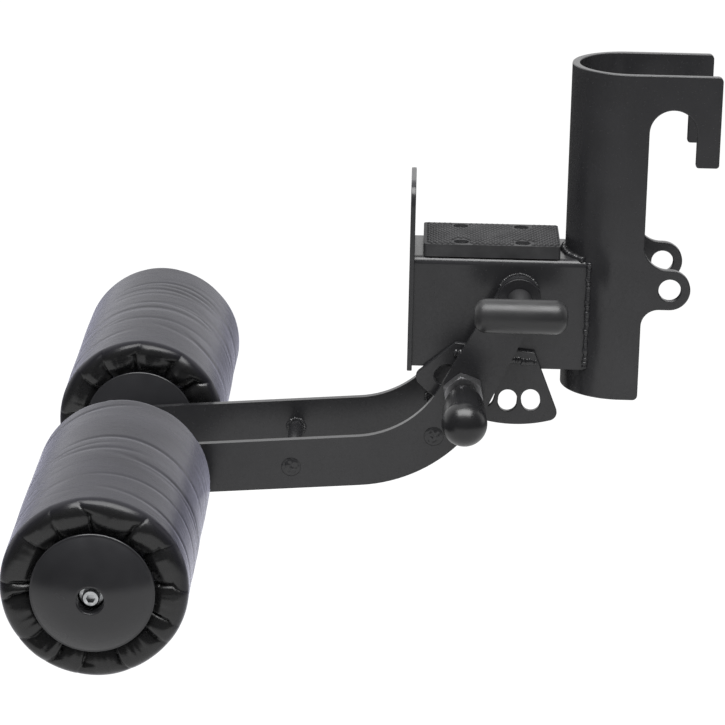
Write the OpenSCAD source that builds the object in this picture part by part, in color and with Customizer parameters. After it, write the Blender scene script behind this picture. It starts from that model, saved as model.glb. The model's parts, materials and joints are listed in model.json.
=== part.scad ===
// Roman chair attachment for a rack upright: a bent sleeve hooks on the upright, a boxed step is
// welded to it, and a pair of bent arms carries two padded rollers and tilts on the box.
// +X runs from the rollers to the upright, +Z is up. The origin is on the axis of the lock pin.

/* [Upright sleeve] */
// Inside width of the sleeve, across the upright
sleeve_in_w = 82; // [76:1:92]
// Thickness of the sleeve's bent plate
sleeve_t = 6; // [4:0.5:8]
// Height of the sleeve's top edge above the lock pin
sleeve_top = 174.5; // [165:0.5:200]
// Depth of the sleeve's bottom edge below the lock pin
sleeve_bottom = 93; // [80:0.5:120]
// Distance of the round nose's centre behind the lock pin
nose_back = 35.7; // [32:0.1:42]
// Reach of the hook plates in front of the lock pin
hook_reach = 34; // [30:0.5:40]
// Width of each hook's finger
finger_w = 18.5; // [14:0.5:22]
// Height of the finger's lower end above the lock pin
finger_low = 101; // [80:1:110]
// Width of the slot that drops over the upright's cross bar
slot_w = 37.5; // [30:0.5:40]
// Height of the slot's crown above the lock pin
slot_crown = 147; // [135:1:155]
// Radius of the sleeve's outer corners
plate_corner_r = 4; // [2:0.5:6]
// Radius of the finger's lower corners
finger_corner_r = 2.5; // [1:0.5:4]

/* [Lock pin ears] */
// Radius of the round ears
ear_r = 16.5; // [14:0.5:20]
// Diameter of the lock pin's hole
lock_pin_d = 18; // [12:0.5:20]
// Radius of the fillet above each ear
ear_fillet_high = 20; // [8:1:24]
// Radius of the fillet below each ear
ear_fillet_low = 14; // [8:1:20]

/* [Box and step] */
// Outside width of the folded box
box_w = 72; // [64:1:74]
// Height of the folded box
box_h = 91.5; // [84:0.5:100]
// Height of the box's top above the lock pin
box_top = 20; // [10:0.1:25]
// Thickness of the box's folded plate
box_t = 5; // [3:0.5:6]
// Outside radius of the two folds
fold_r = 6; // [5.5:0.5:9]
// Distance of the box's free end behind the lock pin
box_back = 204.8; // [190:0.1:220]
// Thickness of the stop plate on the box's free end
stop_t = 4; // [3:0.5:6]
// Width of the stop plate
stop_w = 76; // [60:1:82]
// Height of the stop plate's top above the lock pin
stop_top = 79.5; // [60:0.5:100]
// Depth of the stop plate's bottom below the lock pin
stop_bottom = 76.5; // [72:0.5:80]
// Radius of the stop plate's top corners
stop_corner_r = 18; // [6:1:30]

/* [Step pad] */
// Length of the rubber pad
pad_len = 110; // [90:1:112]
// Width of the rubber pad
pad_w = 68; // [60:1:68]
// Thickness of the rubber pad
pad_t = 10.5; // [8:0.5:14]
// Distance from the stop plate to the pad
pad_from_stop = 7; // [3:0.5:8]
// Spacing of the pad's screws, both ways
pad_screw_pitch = 49.5; // [40:0.5:52]
// Diameter of the dished hole over each pad screw
pad_dish_d = 12.5; // [12:0.5:14]

/* [Arm pivot] */
// Distance of the arm's pivot behind the lock pin
pivot_back = 120.3; // [115:0.1:126]
// Depth of the arm's pivot below the lock pin
pivot_drop = 7.8; // [4:0.1:10]
// Diameter of the pivot bolt
pivot_d = 16; // [12:1:18]
// Outside diameter of the tube welded through the box
pivot_tube_d = 30; // [28:1:34]
// Bore of the tube welded through the box
pivot_tube_bore = 24; // [22:0.5:25]
// Diameter of the pivot's washers
pivot_washer_d = 34; // [28:1:36]
// Thickness of the pivot's washers
pivot_washer_t = 2.5; // [1.5:0.5:4]
// Width across the flats of the pivot's lock nut
pivot_nut_af = 24; // [22:1:27]

/* [Arms] */
// Clear gap between the two arm plates
arm_gap = 98; // [92:1:102]
// Thickness of each arm plate
arm_t = 6; // [5:0.5:8]
// Height of each arm bar
arm_h = 41.5; // [38:1:46]
// Lean of the arm's upper stretch from straight down, at rest
arm_lean = 26.7; // [20:0.1:32]
// Length of the arm's upper stretch, from pivot to bend
upper_len = 94.4; // [92:0.1:110]
// Radius of the bend on the bar's centre line
bend_r = 102; // [80:0.1:120]
// Angle of the bend
bend_angle = 58.9; // [50:0.1:65]
// Length of the arm's lower stretch, from bend to roller axle
lower_len = 189.6; // [165:0.2:230]
// Diameter of the two cross rods
rod_d = 12; // [8:1:14]
// Distance of the cross rods outside the bar's centre line
rod_offset = 2.3; // [0:0.1:6]
// Distance of the first cross rod past the bend
rod_past_bend = 55.3; // [40:0.1:80]
// Angle of the second cross rod round the bend
rod_in_bend = 22.5; // [15:0.5:40]

/* [Tilt sector] */
// Angle from one slot to the next
slot_pitch = 12; // [11:0.5:12.5]
// Number of slots
slot_count = 5; // [3:1:5]
// Radius of the slots' centres from the pivot
slot_radius = 90; // [89:0.1:91]
// Width of each slot
sector_slot_w = 15.2; // [14.6:0.1:16]
// Length of each slot, along the radius
sector_slot_len = 18.4; // [16:0.1:20]
// Outside radius of the sector plate
sector_r = 110; // [108:0.5:114]
// Thickness of the sector plate
sector_t = 5; // [4:0.5:5.5]
// Angle of the sector's side towards the stop plate, from straight down
sector_left_angle = 49.8; // [49:0.1:54]
// Angle of the sector's side towards the sleeve, from straight down
sector_right_angle = 21.5; // [21:0.1:26]
// Depth below the pivot where that side's line starts
sector_right_start = 11.5; // [0:0.5:13]
// Depth of the sector's top edge below the pivot
sector_top_drop = 47; // [44:0.5:52]
// Slope of the sector's top edge, higher towards the stop plate
sector_top_slope = 6; // [0:0.5:8]
// Radius of the sector's lower corners
sector_corner_r = 7; // [3:0.5:9]

/* [Index plunger] */
// Angle of the plunger from straight down, about the pivot, at rest
plunger_angle = 28; // [26:0.5:30]
// Diameter of the plunger's pin
pin_d = 14; // [12:0.5:14]
// Outside diameter of the plunger's barrel
barrel_d = 22; // [20:0.5:24]
// Width across the flats of the barrel's hexagon
hex_af = 30; // [26:1:32]
// Turn of the barrel's hexagon about its axis
hex_turn = 40; // [0:5:55]
// Length of the barrel's hexagon
hex_len = 13; // [12:0.5:20]
// Diameter of the plunger's stem
stem_d = 10; // [8:0.5:10]
// Travel of the plunger from parked to fully in
plunger_travel = 6; // [6:0.5:10]
// Length of the pin's thick part
pin_len = 16; // [14.5:0.5:16]
// Gap left between hexagon and knob when the pin is fully in
knob_gap = 0.5; // [0.5:0.5:4]
// Length of the pear knob
knob_len = 75; // [60:1:80]
// Diameter of the knob's round end
knob_d = 36; // [32:0.1:40]
// Diameter of the knob's neck
knob_neck_d = 26; // [24:0.5:32]
// Wire diameter of the plunger's spring
spring_wire = 1.3; // [1:0.1:1.4]
// Number of coils of the plunger's spring
spring_turns = 4; // [3:1:4]

/* [Clamp handle] */
// Length of the tee bar
tee_len = 74; // [60:1:85]
// Diameter of the tee bar
tee_d = 27; // [22:0.5:30]
// Radius that rounds the ends of the tee bar
tee_end_r = 10; // [4:0.5:12]
// Distance from the arm's face to the tee bar's axis
tee_out = 48.8; // [45:0.1:60]
// Diameter of the handle's stem
tee_stem_d = 19.6; // [18:0.1:24]
// Diameter of the threaded end of the pivot bolt
clamp_thread_d = 12; // [10:1:12]
// Length of the bare insert between washer and handle stem
insert_bare = 1; // [0.5:0.5:12]

/* [Rollers] */
// Diameter of each roller over its cover
roller_d = 140; // [130:1:150]
// Length of each roller between its end rings
roller_len = 230; // [200:1:260]
// Distance from the centre plane to a roller's inner end ring
roller_inset = 80.8; // [80:0.1:90]
// Rounding radius of the roller's soft ends
roller_end_r = 16; // [10:1:18]
// Height of the soft end beyond the end ring
roller_end_out = 10; // [6:0.5:12]
// Thickness of the cover
cover_t = 1.5; // [1:0.1:2.5]
// Diameter of the roller's core tube
core_d = 46; // [44:1:50]
// Wall of the roller's core tube
core_wall = 3; // [2:0.5:4]
// Diameter of the roller axle
axle_d = 25; // [22:1:25]
// Wall of the roller axle's tube
axle_wall = 2.5; // [2:0.5:4]

/* [Roller caps] */
// Diameter of the domed caps
cap_d = 92.8; // [80:0.1:96]
// Height of the cap's rim beyond the end ring
cap_rim_out = 13.1; // [12:0.1:15]
// Height of the cap's dome above its rim
cap_dome = 17; // [10:0.5:18]
// Height of the inner caps' flatter dome above the rim
inner_cap_dome = 10; // [8:0.5:11]
// Wall of the cap
cap_wall = 3; // [2:0.5:4]
// Diameter of the recess round the end screw
cap_recess_d = 20; // [19:0.5:24]
// Depth of the recess round the end screw
cap_recess_deep = 15; // [13:0.5:15]
// Length of the cap's spigot inside the core tube
cap_spigot = 22; // [18:1:30]
// Diameter of the end screws
end_screw_d = 8; // [6:1:8]
// Diameter of the spacer rings between arm and cap
spacer_d = 36; // [32:1:40]

/* [Clearances] */
// Radial clearance of every running shaft
run_fit = 0.05; // [0.02:0.01:0.1]
// Gap between faces that slide past each other
face_gap = 0.3; // [0.2:0.05:0.5]
// Radial clearance of parts that are welded or pressed in
seat_fit = 0.1; // [0.05:0.05:0.2]

/* [Hidden] */
$fn = 64;
nudge = 1;
hair = 0.02;

steel_black = [0.16, 0.16, 0.17];
plastic_black = [0.12, 0.12, 0.13];
zinc = [0.78, 0.79, 0.80];
leather_black = [0.22, 0.22, 0.26];
rubber_black = [0.20, 0.20, 0.22];
foam_grey = [0.30, 0.30, 0.32];
nylon_white = [0.85, 0.85, 0.82];

// Sleeve
sleeve_in_r = sleeve_in_w / 2;
sleeve_out_r = sleeve_in_r + sleeve_t;
sleeve_h = sleeve_top + sleeve_bottom;
slot_right = hook_reach - finger_w;
slot_left = slot_right - slot_w;
slot_r = slot_w / 2;

// Box, pivot and arms
box_bottom = box_top - box_h;
side_out = box_w / 2;
side_in = side_out - box_t;
arm_in = arm_gap / 2;
arm_out = arm_in + arm_t;
pivot = [-pivot_back, -pivot_drop];
bush_flange_t = 1.5;
tube_end = arm_in - face_gap - bush_flange_t;

// A point of the side view, turned about the pivot
function turned(p, a) = [p.x * cos(a) - p.y * sin(a), p.x * sin(a) + p.y * cos(a)];
bend_centre = turned([-bend_r, -upper_len], -arm_lean);
// A point of the bar past the bend, and one inside the bend, out by the given offset
function past_bend(d, out = 0) = bend_centre + turned([bend_r + out, -d], -arm_lean - bend_angle);
function in_bend(a, out = 0) = bend_centre + turned([bend_r + out, 0], -arm_lean - a);
axle_at = past_bend(lower_len);
rod_places = [past_bend(rod_past_bend, rod_offset), in_bend(rod_in_bend, rod_offset)];
plunger_at = turned([0, -slot_radius], -plunger_angle);
first_slot = -plunger_angle - slot_pitch;

// Plunger, measured outwards from the centre plane
hex_face = arm_out + hex_len;
knob_back = hex_face + knob_gap + plunger_travel;
pin_tip = side_out + face_gap + plunger_travel;
pin_shoulder = pin_tip + pin_len;
chamber_end = hex_face - 2.5;
spring_r = (pin_d + stem_d) / 4;
spring_gap = 0.15;

// Clamp handle, measured outwards from the centre plane
washer_face = arm_out + pivot_washer_t;
tee_axis = arm_out + tee_out;
insert_start = washer_face + face_gap;
stem_start = insert_start + insert_bare;
insert_d = clamp_thread_d + 3.5;
insert_len = 30;
thread_end = insert_start + insert_len - 4;

// Rollers, measured outwards from an end ring
roller_r = roller_d / 2;
soft_centre_r = roller_r - roller_end_r;
soft_centre_u = roller_end_out - roller_end_r;
cap_r = cap_d / 2;
rim_r = 1.4;
cap_under = cap_rim_out - 2 * rim_r;
core_in_r = core_d / 2 - core_wall;
spigot_r = core_in_r - seat_fit;
bush_out_r = spigot_r - cap_wall;
// Height of the flat middle of a cap whose dome has the given height
function cap_top(dome) = cap_rim_out + dome - 1;
recess_floor = cap_top(cap_dome) - cap_recess_deep;
axle_end = recess_floor - cap_wall - face_gap;
washer_t = 1.6;
screw_seat = recess_floor + face_gap + washer_t;
bush_len = 18;
tuck_r = 30;

// Puts a shape drawn from above with Z outwards onto one side: -1 is the handle side
module facing(side) {
  rotate([side < 0 ? 90 : -90, 0, 0]) children();
}

// A shape drawn in the side view, made a plate from one distance to another on one side
module side_plate(side, from, to) {
  translate([0, side < 0 ? -from : to, 0]) rotate([90, 0, 0]) linear_extrude(to - from) children();
}

// Moves a shape from the pivot or a given point of the side view to its place
module at_pivot(p = [0, 0]) {
  translate([pivot.x + p.x, 0, pivot.y + p.y]) children();
}

// A ring about the Z axis from one height to another
module ring(outer_r, inner_r, from, to) {
  translate([0, 0, from]) difference() {
    cylinder(r = outer_r, h = to - from);
    translate([0, 0, -nudge]) cylinder(r = inner_r, h = to - from + 2 * nudge);
  }
}

// The waste outside a rounded corner, whose point is at the origin and body towards +X +Y
module corner_waste(r) {
  difference() {
    translate([-nudge, -nudge]) square(r + nudge);
    translate([r, r]) circle(r);
  }
}

// A slot with round ends along Y
module round_slot(w, len) {
  for (y = [-1, 1]) translate([0, y * (len - w) / 2]) circle(d = w);
  square([w, len - w], center = true);
}

// A hexagonal prism about the Z axis with chamfered ends
module hex_nut(af, h) {
  intersection() {
    cylinder(d = af / cos(30), h = h, $fn = 6);
    rotate_extrude() polygon([
      [0, 0], [af / 2, 0], [af / 2 + 1.2 * af / 12, af / 20], [af / 2 + 1.2 * af / 12, h - af / 20],
      [af / 2, h], [0, h]
    ]);
  }
}

// Rack sleeve
module u_section() {
  difference() {
    union() {
      circle(sleeve_out_r);
      translate([0, -sleeve_out_r]) square([nose_back + hook_reach, 2 * sleeve_out_r]);
    }
    circle(sleeve_in_r);
    translate([0, -sleeve_in_r]) square([nose_back + hook_reach + nudge, 2 * sleeve_in_r]);
  }
}

module ear_fillet(r, side) {
  difference() {
    translate([slot_left - nudge, side > 0 ? ear_r - nudge : -ear_r - r])
      square([r + nudge, r + nudge]);
    translate([slot_left + r, side * (ear_r + r)]) circle(r);
  }
}

module hook_profile() {
  difference() {
    union() {
      translate([-nose_back - sleeve_out_r - nudge, -sleeve_bottom])
        square([nose_back + sleeve_out_r + nudge + slot_left, sleeve_h]);
      translate([slot_left - nudge, finger_low])
        square([slot_w + finger_w + nudge, sleeve_top - finger_low]);
      circle(ear_r);
      translate([slot_left - nudge, -ear_r]) square([nudge - slot_left, 2 * ear_r]);
      ear_fillet(ear_fillet_high, 1);
      ear_fillet(ear_fillet_low, -1);
    }
    translate([slot_left, finger_low - nudge])
      square([slot_w, slot_crown - slot_r - finger_low + nudge]);
    translate([slot_left + slot_r, slot_crown - slot_r]) circle(slot_r);
    translate([hook_reach, sleeve_top]) rotate(180) corner_waste(plate_corner_r);
    translate([hook_reach, finger_low]) rotate(90) corner_waste(finger_corner_r);
    translate([slot_right, finger_low]) corner_waste(finger_corner_r);
    translate([slot_left, -sleeve_bottom]) rotate(90) corner_waste(plate_corner_r);
  }
}

module rack_sleeve() {
  color(steel_black) difference() {
    intersection() {
      translate([-nose_back, 0, -sleeve_bottom]) linear_extrude(sleeve_h) u_section();
      rotate([90, 0, 0]) linear_extrude(2 * sleeve_out_r + 2 * nudge, center = true) hook_profile();
    }
    rotate([90, 0, 0]) cylinder(d = lock_pin_d, h = 2 * sleeve_out_r + 2 * nudge, center = true);
  }
}

// Box and step
module folded_section() {
  fold_in_r = fold_r - box_t;
  difference() {
    union() {
      translate([-side_out, box_bottom]) square([box_w, box_h - fold_r]);
      translate([fold_r - side_out, box_top - fold_r]) square([box_w - 2 * fold_r, fold_r]);
      for (s = [-1, 1]) translate([s * (side_out - fold_r), box_top - fold_r]) circle(fold_r);
    }
    translate([-side_in, box_bottom - nudge])
      square([2 * side_in, box_h - box_t - fold_in_r + nudge]);
    translate([fold_in_r - side_in, box_top - box_t - fold_in_r - nudge])
      square([2 * (side_in - fold_in_r), fold_in_r + nudge]);
    for (s = [-1, 1]) translate([s * (side_in - fold_in_r), box_top - box_t - fold_in_r])
      circle(fold_in_r);
  }
}

module at_pad_screws() {
  pad_mid = pad_from_stop + pad_len / 2 - box_back;
  for (x = [-1, 1], y = [-1, 1])
    translate([pad_mid + x * pad_screw_pitch / 2, y * pad_screw_pitch / 2, box_top]) children();
}

module box_channel() {
  color(steel_black) difference() {
    translate([-box_back, 0, 0]) rotate([90, 0, 90])
      linear_extrude(box_back - nose_back) folded_section();
    translate([-nose_back, 0, box_bottom - nudge])
      cylinder(r = sleeve_out_r + seat_fit, h = box_h + 2 * nudge);
    at_pivot() rotate([90, 0, 0])
      cylinder(r = pivot_tube_d / 2 + seat_fit, h = box_w + 2 * nudge, center = true);
    at_pad_screws() translate([0, 0, -box_t - nudge]) cylinder(d = 6 + seat_fit, h = box_t + 2 * nudge);
  }
}

module stop_plate() {
  color(steel_black) translate([-box_back - stop_t, 0, 0]) rotate([90, 0, 90]) linear_extrude(stop_t)
    difference() {
      translate([-stop_w / 2, -stop_bottom]) square([stop_w, stop_top + stop_bottom]);
      translate([-stop_w / 2, stop_top]) rotate(-90) corner_waste(stop_corner_r);
      translate([stop_w / 2, stop_top]) rotate(180) corner_waste(stop_corner_r);
      translate([-stop_w / 2, -stop_bottom]) corner_waste(plate_corner_r);
      translate([stop_w / 2, -stop_bottom]) rotate(90) corner_waste(plate_corner_r);
    }
}

module step_pad() {
  corner = 3;
  start = pad_from_stop - box_back;
  color(rubber_black) difference() {
    translate([start, -pad_w / 2, box_top]) linear_extrude(pad_t) difference() {
      square([pad_len, pad_w]);
      corner_waste(corner);
      translate([pad_len, 0]) rotate(90) corner_waste(corner);
      translate([pad_len, pad_w]) rotate(180) corner_waste(corner);
      translate([0, pad_w]) rotate(-90) corner_waste(corner);
    }
    at_pad_screws() translate([0, 0, -nudge]) cylinder(d = 6.6, h = pad_t);
    at_pad_screws() translate([0, 0, pad_t - 5]) cylinder(d = pad_dish_d, h = 5 + nudge);
  }
}

module pad_screws() {
  color(zinc) at_pad_screws() difference() {
    union() {
      translate([0, 0, -box_t - 5]) cylinder(d = 6, h = pad_t + box_t);
      rotate_extrude() polygon([
        [0, pad_t - 5], [5.6, pad_t - 5], [5.6, pad_t - 3.6], [4.4, pad_t - 2.4], [0, pad_t - 2]
      ]);
    }
    translate([0, 0, pad_t - 3.8]) cylinder(d = 3.4, h = 3, $fn = 6);
  }
}

// Tilt sector, drawn about the pivot. Each side is [-1 or 1, its angle, depth of its start].
sector_sides = [[-1, sector_left_angle, 0], [1, sector_right_angle, sector_right_start]];

module sector_outline() {
  c_r = sector_r - sector_corner_r;
  far = [for (side = sector_sides) let (h = side[1])
    [0, -side[2]] + 2 * sector_r * [side[0] * sin(h), -cos(h)]];
  difference() {
    intersection() {
      circle(sector_r);
      polygon([[0, 0], far[0], far[1], [0, -sector_right_start]]);
    }
    for (side = sector_sides) {
      s = side[0];
      h = side[1];
      corner_at = h - asin((sector_corner_r + side[2] * sin(h)) / c_r);
      translate([s * c_r * sin(corner_at), -c_r * cos(corner_at)]) difference() {
        polygon(2 * sector_corner_r * [
          [0, 0], [s * cos(h), sin(h)], [s * cos(h) + s * sin(h), sin(h) - cos(h)],
          [s * sin(corner_at), -cos(corner_at)]
        ]);
        circle(sector_corner_r + hair);
      }
    }
  }
}

module sector_plate() {
  color(steel_black) at_pivot() side_plate(-1, side_out, side_out + sector_t) difference() {
    sector_outline();
    rotate(-sector_top_slope) translate([-sector_r, -sector_top_drop])
      square([2 * sector_r, 2 * sector_r]);
    for (i = [0 : slot_count - 1]) rotate(first_slot + i * slot_pitch) translate([0, -slot_radius])
      round_slot(sector_slot_w, sector_slot_len);
  }
}

// Pivot
module pivot_tube() {
  color(steel_black) at_pivot() rotate([90, 0, 0])
    ring(pivot_tube_d / 2, pivot_tube_bore / 2, -tube_end, tube_end);
}

module pivot_bushes() {
  bush_len_in = 25;
  bush_r = pivot_tube_bore / 2 - run_fit;
  color(nylon_white) at_pivot() for (side = [-1, 1]) facing(side) {
    ring(bush_r, pivot_d / 2 + run_fit, tube_end - bush_len_in, tube_end);
    ring(pivot_tube_d / 2 - 1, pivot_d / 2 + run_fit, tube_end, tube_end + bush_flange_t);
  }
}

module pivot_bolt() {
  nut_end = arm_out + pivot_washer_t + 15;
  color(zinc) at_pivot() {
    facing(1) cylinder(d = pivot_d, h = nut_end);
    facing(-1) cylinder(d = pivot_d, h = washer_face);
    facing(-1) cylinder(d = clamp_thread_d, h = thread_end);
  }
}

module pivot_washers() {
  color(steel_black) at_pivot() for (side = [-1, 1]) facing(side)
    ring(pivot_washer_d / 2, pivot_d / 2 + seat_fit, arm_out, washer_face);
}

module pivot_nut() {
  color(zinc) at_pivot() facing(1) translate([0, 0, washer_face]) difference() {
    hex_nut(pivot_nut_af, 13);
    translate([0, 0, -nudge]) cylinder(r = pivot_d / 2 + seat_fit, h = 13 + 2 * nudge);
  }
}

// Arms
// The bar's upper stretch, its bend and its lower stretch, with a round end at pivot and axle.
// The bend is narrower by a hair, so its ends lie inside the two straight stretches.
module bent_bar() {
  half_h = arm_h / 2;
  overlap = 0.4;
  size = 4 * bend_r;
  rotate(-arm_lean) {
    circle(half_h);
    translate([-half_h, -upper_len]) square([arm_h, upper_len]);
    translate([-bend_r, -upper_len]) rotate(-bend_angle) {
      difference() {
        circle(bend_r + half_h - hair, $fn = 128);
        circle(bend_r - half_h + hair, $fn = 128);
        rotate(-overlap) translate([-size / 2, -size]) square([size, size]);
        rotate(bend_angle + overlap) translate([-size / 2, 0]) square([size, size]);
        translate([-size, -size / 2]) square([size, size]);
      }
      translate([bend_r - half_h, -lower_len]) square([arm_h, lower_len]);
      translate([bend_r, -lower_len]) circle(half_h);
    }
  }
}

module arm_plate(side) {
  plug_d = rod_d + 4;
  color(steel_black) at_pivot() difference() {
    side_plate(side, arm_in, arm_out) difference() {
      bent_bar();
      circle(pivot_d / 2 + seat_fit);
      translate(axle_at) circle(axle_d / 2 + seat_fit);
      for (p = rod_places) translate(p) circle(rod_d / 2 + seat_fit);
      if (side < 0) translate(plunger_at) circle(barrel_d / 2 + seat_fit);
    }
    for (p = rod_places) translate([p.x, 0, p.y]) facing(side)
      translate([0, 0, arm_out - 2]) cylinder(d = plug_d, h = 2 + nudge);
  }
}

module arm_plate_front() { arm_plate(-1); }

module arm_plate_back() { arm_plate(1); }

module cross_rods() {
  color(steel_black) at_pivot() for (p = rod_places) translate([p.x, 0, p.y]) rotate([90, 0, 0])
    cylinder(d = rod_d, h = 2 * (arm_out - 2), center = true);
}

// Index plunger, parked out of the sector
module plunger_barrel() {
  color(zinc) at_pivot(plunger_at) facing(-1) difference() {
    union() {
      translate([0, 0, arm_in]) cylinder(d = barrel_d, h = arm_t);
      translate([0, 0, arm_out]) rotate(hex_turn) hex_nut(hex_af, hex_len);
    }
    translate([0, 0, arm_in - nudge])
      cylinder(r = pin_d / 2 + run_fit, h = chamber_end - arm_in + nudge);
    cylinder(r = stem_d / 2 + run_fit, h = hex_face + nudge);
  }
}

module plunger_pin() {
  chamfer = 1.5;
  color(zinc) at_pivot(plunger_at) facing(-1) {
    translate([0, 0, pin_tip]) rotate_extrude() polygon([
      [0, 0], [pin_d / 2 - chamfer, 0], [pin_d / 2, chamfer], [pin_d / 2, pin_len], [0, pin_len]
    ]);
    translate([0, 0, pin_shoulder - nudge]) cylinder(d = stem_d, h = knob_back + 30 - pin_shoulder);
  }
}

// The spring's wire follows a helix; its ends stop just short of the pin and the barrel
module plunger_spring() {
  steps = 24;
  sides = 8;
  from = pin_shoulder + spring_wire / 2 + spring_gap;
  to = chamber_end - spring_wire / 2 - spring_gap;
  count = steps * spring_turns;
  rings = [for (i = [0 : count]) let (a = 360 * i / steps, z = from + (to - from) * i / count)
    [for (k = [0 : sides - 1]) let (b = 360 * k / sides, r = spring_r + cos(b) * spring_wire / 2)
      [r * cos(a), r * sin(a), z + sin(b) * spring_wire / 2]]];
  points = [for (one = rings) each one];
  skin = [for (i = [0 : count - 1], k = [0 : sides - 1]) let (n = (k + 1) % sides)
    [i * sides + k, (i + 1) * sides + k, (i + 1) * sides + n, i * sides + n]];
  ends = [[for (k = [0 : sides - 1]) k], [for (k = [0 : sides - 1]) count * sides + sides - 1 - k]];
  color(zinc) at_pivot(plunger_at) facing(-1) polyhedron(points, concat(skin, ends));
}

// A pear: a ball at the outer end and a cone that runs into it from a chamfered neck
module plunger_knob() {
  ball_r = knob_d / 2;
  chamfer = 2;
  neck_r = knob_neck_d / 2;
  len = knob_len - ball_r - chamfer;
  tilt = atan2(neck_r, len) - asin(ball_r / sqrt(neck_r * neck_r + len * len));
  ball_z = knob_back + knob_len - ball_r;
  color(plastic_black) at_pivot(plunger_at) facing(-1) difference() {
    rotate_extrude() intersection() {
      union() {
        translate([0, ball_z]) circle(ball_r);
        polygon([
          [0, knob_back], [neck_r - chamfer, knob_back], [neck_r, knob_back + chamfer],
          [0, ball_z] + (ball_r - hair) * [cos(tilt), sin(tilt)], [0, ball_z]
        ]);
      }
      translate([0, knob_back - nudge]) square([knob_d, knob_len + 2 * nudge]);
    }
    translate([0, 0, knob_back - nudge]) cylinder(r = stem_d / 2 + seat_fit, h = 31 + nudge);
  }
}

// Clamp handle
module clamp_insert() {
  color(steel_black) at_pivot() facing(-1) translate([0, 0, insert_start]) difference() {
    cylinder(d = insert_d, h = insert_len);
    translate([0, 0, -nudge]) cylinder(r = clamp_thread_d / 2 + run_fit, h = insert_len - 3 + nudge);
  }
}

module clamp_tee() {
  straight = tee_len - 2 * tee_end_r;
  color(plastic_black) at_pivot() facing(-1) difference() {
    union() {
      translate([0, 0, stem_start]) cylinder(d = tee_stem_d, h = tee_axis - stem_start);
      translate([-tee_len / 2, 0, tee_axis]) rotate([0, 90, 0]) rotate_extrude() intersection() {
        union() {
          square([tee_d / 2 - tee_end_r, tee_len]);
          translate([0, tee_end_r]) square([tee_d / 2, straight]);
          for (z = [tee_end_r, tee_len - tee_end_r]) translate([tee_d / 2 - tee_end_r, z])
            circle(tee_end_r);
        }
        square([tee_d, tee_len]);
      }
    }
    cylinder(r = insert_d / 2 + seat_fit, h = insert_start + insert_len + seat_fit);
  }
}

// Roller axle and what holds the rollers on it
module at_axle() {
  at_pivot(axle_at) children();
}

// Both sides of the axle: the children are drawn with Z outwards, zero at the outer end ring
module at_outer_ends() {
  at_axle() for (side = [-1, 1]) facing(side) translate([0, 0, roller_inset + roller_len]) children();
}

module roller_axle() {
  half = roller_inset + roller_len + axle_end;
  color(zinc) at_axle() rotate([90, 0, 0]) ring(axle_d / 2, axle_d / 2 - axle_wall, -half, half);
}

module axle_plugs() {
  color(zinc) at_outer_ends()
    ring(axle_d / 2 - axle_wall - run_fit, end_screw_d / 2 + run_fit, axle_end - 26, axle_end);
}

module spacer_rings() {
  dome_face = roller_inset - cap_top(inner_cap_dome) - face_gap;
  color(steel_black) at_axle() for (side = [-1, 1]) facing(side)
    ring(spacer_d / 2, axle_d / 2 + seat_fit, arm_out, dome_face - face_gap);
}

module end_washers() {
  color(zinc) at_outer_ends()
    ring(cap_recess_d / 2 - 1, end_screw_d / 2 + seat_fit, screw_seat - washer_t, screw_seat);
}

module end_screws() {
  head_d = 1.6 * end_screw_d;
  color(zinc) at_outer_ends() {
    translate([0, 0, screw_seat - 30]) cylinder(d = end_screw_d, h = 30);
    translate([0, 0, screw_seat]) difference() {
      rotate_extrude() polygon([
        [0, 0], [head_d / 2, 0], [head_d / 2, end_screw_d - 0.8], [head_d / 2 - 0.8, end_screw_d],
        [0, end_screw_d]
      ]);
      translate([0, 0, end_screw_d / 2])
        cylinder(d = 0.75 * end_screw_d / cos(30), h = end_screw_d, $fn = 6);
    }
  }
}

// Rollers: each soft ring is a half profile, mirrored about the roller's middle
module at_roller(side) {
  at_axle() facing(side) translate([0, 0, roller_inset + roller_len / 2]) children();
}

module core_tube(side) {
  color(plastic_black) at_roller(side)
    ring(core_d / 2, core_in_r, -roller_len / 2, roller_len / 2);
}

module roller_bushes(side) {
  color(nylon_white) at_roller(side) for (end = [-1, 1]) {
    start = end < 0 ? -roller_len / 2 - 4 : roller_len / 2 + 4 - bush_len;
    ring(bush_out_r - run_fit, axle_d / 2 + run_fit, start, start + bush_len);
  }
}

// Outline of the soft roller, taken in from the cover's outside by the given amount
module soft_profile(inset, hole_r) {
  half = roller_len / 2;
  r = roller_end_r - inset;
  intersection() {
    union() {
      for (end = [-1, 1]) translate([soft_centre_r, end * (half + soft_centre_u)]) circle(r);
      translate([0, -half - soft_centre_u]) square([roller_r - inset, 2 * (half + soft_centre_u)]);
      translate([0, inset - half - roller_end_out])
        square([soft_centre_r, 2 * (half + roller_end_out - inset)]);
    }
    translate([hole_r, -half - 2 * roller_end_out]) square([roller_r, 2 * half + 4 * roller_end_out]);
  }
}

module foam(side) {
  color(foam_grey) at_roller(side) rotate_extrude()
    soft_profile(cover_t + seat_fit, core_d / 2 + seat_fit);
}

module cover(side) {
  color(leather_black) at_roller(side) rotate_extrude() difference() {
    soft_profile(0, tuck_r);
    soft_profile(cover_t, 0);
  }
}

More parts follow.
